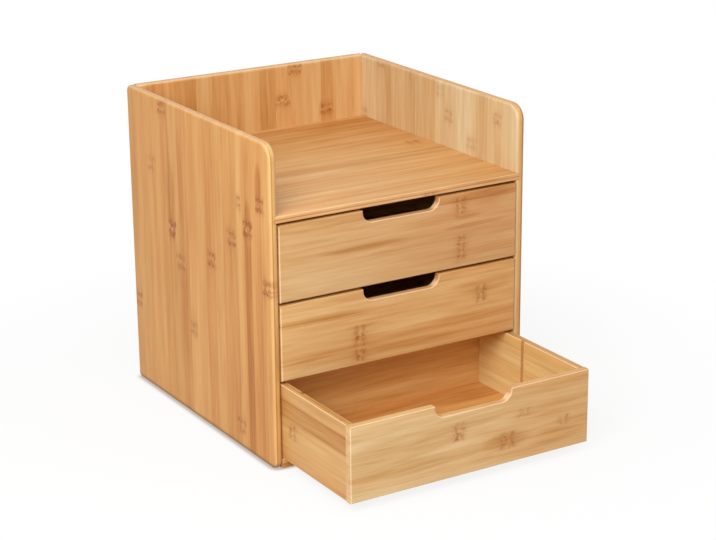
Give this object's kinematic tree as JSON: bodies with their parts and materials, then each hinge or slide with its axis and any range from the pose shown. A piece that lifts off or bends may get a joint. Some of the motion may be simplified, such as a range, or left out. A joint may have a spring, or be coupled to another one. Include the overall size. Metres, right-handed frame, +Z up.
{
  "type": "desk organizer with drawers",
  "caption": "Bamboo desk organizer: an open-fronted tray on top of stacked drawers with finger notches, each with a cross divider.",
  "frame": {"origin": "centre of the cabinet's underside, in the plane that stands on the desk", "axes": "+X to the right seen from the front, +Y from the drawer fronts to the back panel, +Z up"},
  "size_m": [0.25, 0.367, 0.278],
  "materials": {
    "bamboo_side": "satin",
    "bamboo_back": "satin",
    "bamboo_shelf": "satin",
    "bamboo_front": "satin",
    "bamboo_wall": "satin",
    "bamboo_divider": "satin",
    "bamboo_board": "satin",
    "bamboo_sheet": "satin",
    "dowel": "matt"
  },
  "bodies": {
    "cabinet": {"left_side": "bamboo_side", "right_side": "bamboo_side", "back_panel": "bamboo_back", "shelf": "bamboo_shelf", "base_board": "bamboo_board", "dust_panel_lower": "bamboo_sheet", "dust_panel_upper": "bamboo_sheet", "rear_rail_lower": "bamboo_board", "rear_rail_middle": "bamboo_board", "rear_rail_upper": "bamboo_board", "base_dowels": "dowel", "back_dowels": "dowel"},
    "drawer_top": {"drawer_top_front": "bamboo_front", "drawer_top_left_wall": "bamboo_wall", "drawer_top_right_wall": "bamboo_wall", "drawer_top_back": "bamboo_wall", "drawer_top_floor": "bamboo_sheet", "drawer_top_divider": "bamboo_divider", "drawer_top_pins": "dowel"},
    "drawer_middle": {"drawer_middle_front": "bamboo_front", "drawer_middle_left_wall": "bamboo_wall", "drawer_middle_right_wall": "bamboo_wall", "drawer_middle_back": "bamboo_wall", "drawer_middle_floor": "bamboo_sheet", "drawer_middle_divider": "bamboo_divider", "drawer_middle_pins": "dowel"},
    "drawer_bottom": {"drawer_bottom_front": "bamboo_front", "drawer_bottom_left_wall": "bamboo_wall", "drawer_bottom_right_wall": "bamboo_wall", "drawer_bottom_back": "bamboo_wall", "drawer_bottom_floor": "bamboo_sheet", "drawer_bottom_divider": "bamboo_divider", "drawer_bottom_pins": "dowel"}
  },
  "joints": [
    {"name": "drawer_top_slide", "type": "slide", "parent": "cabinet", "child": "drawer_top", "axis": [0, -1, 0], "range_m": [0, 0.19]},
    {"name": "drawer_middle_slide", "type": "slide", "parent": "cabinet", "child": "drawer_middle", "axis": [0, -1, 0], "range_m": [0, 0.19]},
    {"name": "drawer_bottom_slide", "type": "slide", "parent": "cabinet", "child": "drawer_bottom", "axis": [0, -1, 0], "range_m": [-0.107, 0.083]}
  ]
}
